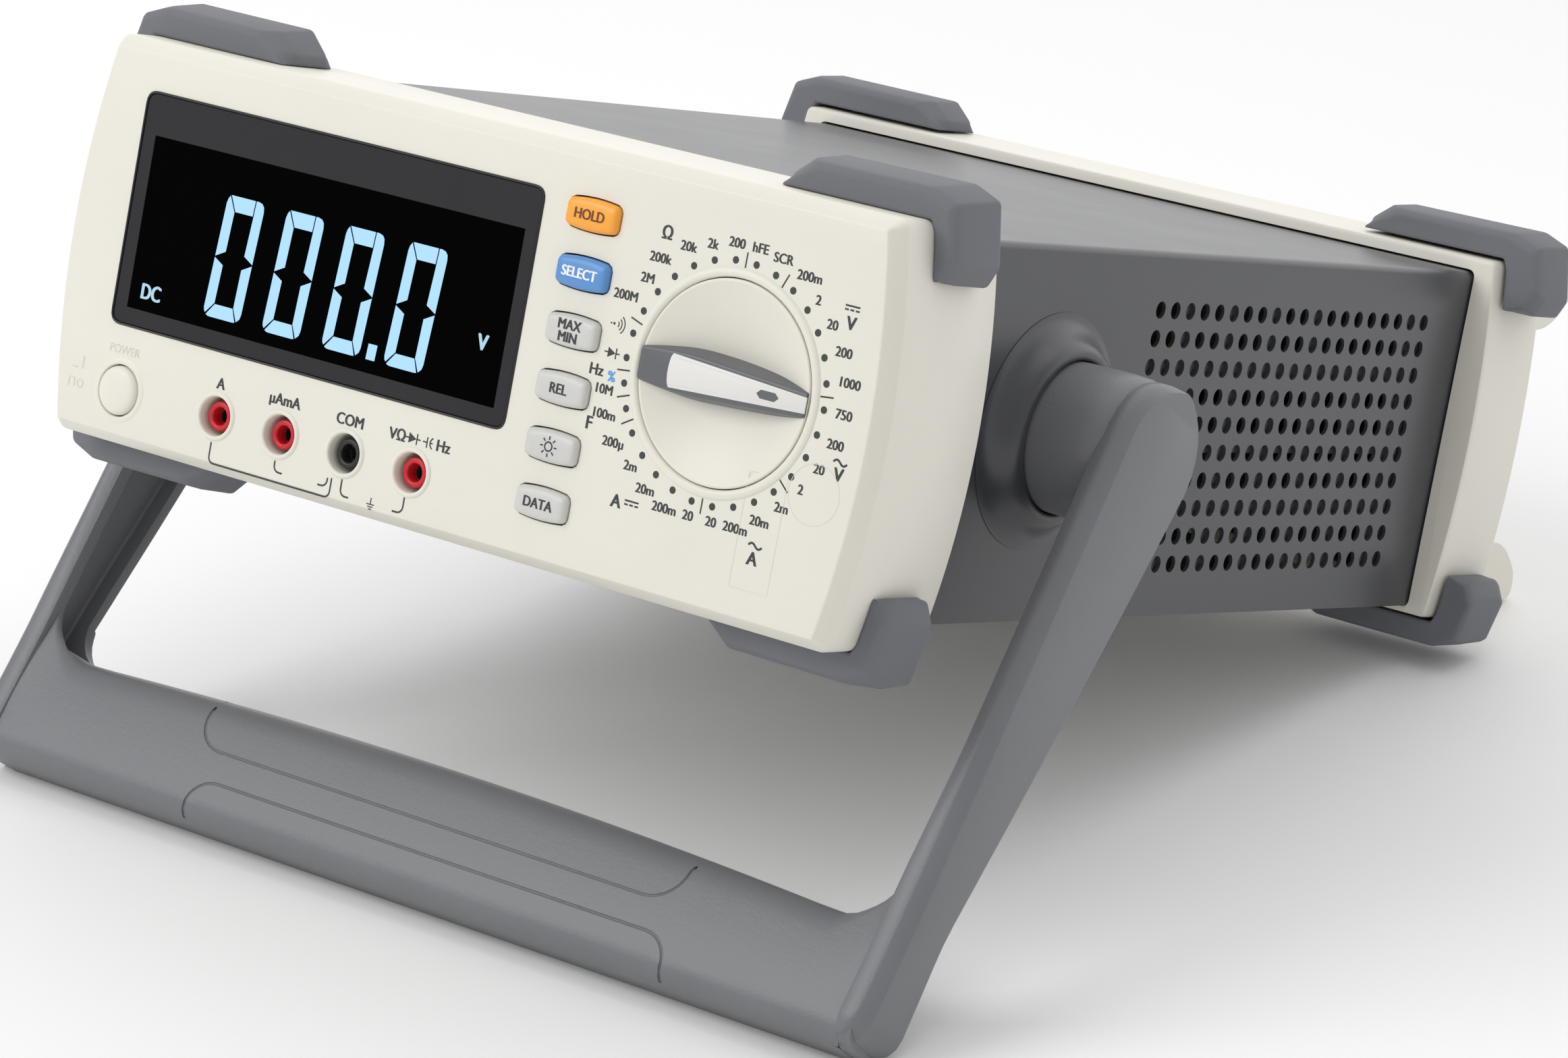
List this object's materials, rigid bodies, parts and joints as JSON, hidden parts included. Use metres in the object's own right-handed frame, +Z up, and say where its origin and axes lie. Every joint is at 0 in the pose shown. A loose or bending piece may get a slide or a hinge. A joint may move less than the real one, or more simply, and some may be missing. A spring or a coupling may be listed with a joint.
{
  "type": "bench multimeter",
  "caption": "Low wide cream and grey test meter with a dark display, key column, round range dial and input sockets, tilted back on its U-shaped swing handle.",
  "frame": {"origin": "on the surface it stands on, at the middle of its bounding box", "axes": "+X across the front to the viewer's right, +Y from the front panel to the rear, +Z up; the housing itself is tilted back about X, front raised"},
  "size_m": [0.2656, 0.359, 0.1844],
  "materials": {
    "black_plastic": "matte",
    "blue_key": "satin",
    "board_green": "solder mask",
    "copper": "bare",
    "cream_plastic": "fine moulded texture",
    "dark_sheet": "powder coat",
    "grey_key": "satin",
    "grey_plastic": "fine moulded texture",
    "grey_rubber": "matte",
    "lcd_glass": "gloss",
    "orange_key": "satin",
    "plain_steel": "zinc plated",
    "red_plastic": "satin",
    "silicone": "matte",
    "white_plastic": "satin",
    "window_black": "gloss"
  },
  "bodies": {
    "housing": {"base_tray": "plain_steel", "bumper_front_lower_left": "grey_rubber", "bumper_front_lower_right": "grey_rubber", "bumper_front_upper_left": "grey_rubber", "bumper_front_upper_right": "grey_rubber", "bumper_rear_lower_left": "grey_rubber", "bumper_rear_lower_right": "grey_rubber", "bumper_rear_upper_left": "grey_rubber", "bumper_rear_upper_right": "grey_rubber", "contact_amps": "plain_steel", "contact_common": "plain_steel", "contact_milliamps": "plain_steel", "contact_volts": "plain_steel", "data_port": "plain_steel", "display_window": "window_black", "front_bezel": "cream_plastic", "front_board": "board_green", "fuse_holder": "black_plastic", "jack_amps": "red_plastic", "jack_common": "black_plastic", "jack_milliamps": "red_plastic", "jack_volts": "red_plastic", "key_mat": "silicone", "lcd_backlight": "white_plastic", "lcd_module": "lcd_glass", "main_board": "board_green", "mains_inlet": "black_plastic", "pivot_collar_left": "dark_sheet", "pivot_collar_right": "dark_sheet", "power_switch": "black_plastic", "rear_bezel": "cream_plastic", "rear_panel": "plain_steel", "rear_screw_left_lower": "plain_steel", "rear_screw_left_upper": "plain_steel", "rear_screw_right_lower": "plain_steel", "rear_screw_right_upper": "plain_steel", "ribbon_cable": "silicone", "rotary_switch": "black_plastic", "top_cover": "dark_sheet", "transformer_coil": "copper", "transformer_core": "plain_steel", "vent_guard_left": "plain_steel", "vent_guard_right": "plain_steel"},
    "handle": {"handle_bar": "grey_plastic", "handle_arm_left": "grey_plastic", "handle_arm_right": "grey_plastic", "pivot_bolt_left": "plain_steel", "pivot_bolt_right": "plain_steel"},
    "range_knob": {"range_knob": "cream_plastic", "knob_grip": "grey_plastic", "knob_inlay": "white_plastic", "knob_shaft": "white_plastic"},
    "hold_key": {"hold_key": "orange_key"},
    "select_key": {"select_key": "blue_key"},
    "extremes_key": {"extremes_key": "grey_key"},
    "relative_key": {"relative_key": "grey_key"},
    "backlight_key": {"backlight_key": "grey_key"},
    "data_key": {"data_key": "grey_key"},
    "power_button": {"power_button": "cream_plastic"}
  },
  "joints": [
    {"name": "handle_swing", "type": "hinge", "parent": "housing", "child": "handle", "pos_m": [0, -0.07178, 0.11111], "axis": [-1, 0, 0], "range_deg": [-88, 212]},
    {"name": "range_turn", "type": "hinge", "parent": "housing", "child": "range_knob", "pos_m": [0.0757, -0.15638, 0.13967], "axis": [0, -0.9609, 0.277], "continuous": true},
    {"name": "hold_press", "type": "slide", "parent": "housing", "child": "hold_key", "axis": [0, 0.9609, -0.277], "range_m": [0, 0.0015], "stiffness_N_per_m": 800, "springref_m": -0.0003},
    {"name": "select_press", "type": "slide", "parent": "housing", "child": "select_key", "axis": [0, 0.9609, -0.277], "range_m": [0, 0.0015], "stiffness_N_per_m": 800, "springref_m": -0.0003},
    {"name": "extremes_press", "type": "slide", "parent": "housing", "child": "extremes_key", "axis": [0, 0.9609, -0.277], "range_m": [0, 0.0015], "stiffness_N_per_m": 800, "springref_m": -0.0003},
    {"name": "relative_press", "type": "slide", "parent": "housing", "child": "relative_key", "axis": [0, 0.9609, -0.277], "range_m": [0, 0.0015], "stiffness_N_per_m": 800, "springref_m": -0.0003},
    {"name": "backlight_press", "type": "slide", "parent": "housing", "child": "backlight_key", "axis": [0, 0.9609, -0.277], "range_m": [0, 0.0015], "stiffness_N_per_m": 800, "springref_m": -0.0003},
    {"name": "data_press", "type": "slide", "parent": "housing", "child": "data_key", "axis": [0, 0.9609, -0.277], "range_m": [0, 0.0015], "stiffness_N_per_m": 800, "springref_m": -0.0003},
    {"name": "power_press", "type": "slide", "parent": "housing", "child": "power_button", "axis": [0, 0.9609, -0.277], "range_m": [0, 0.003], "stiffness_N_per_m": 500, "springref_m": -0.0008}
  ]
}
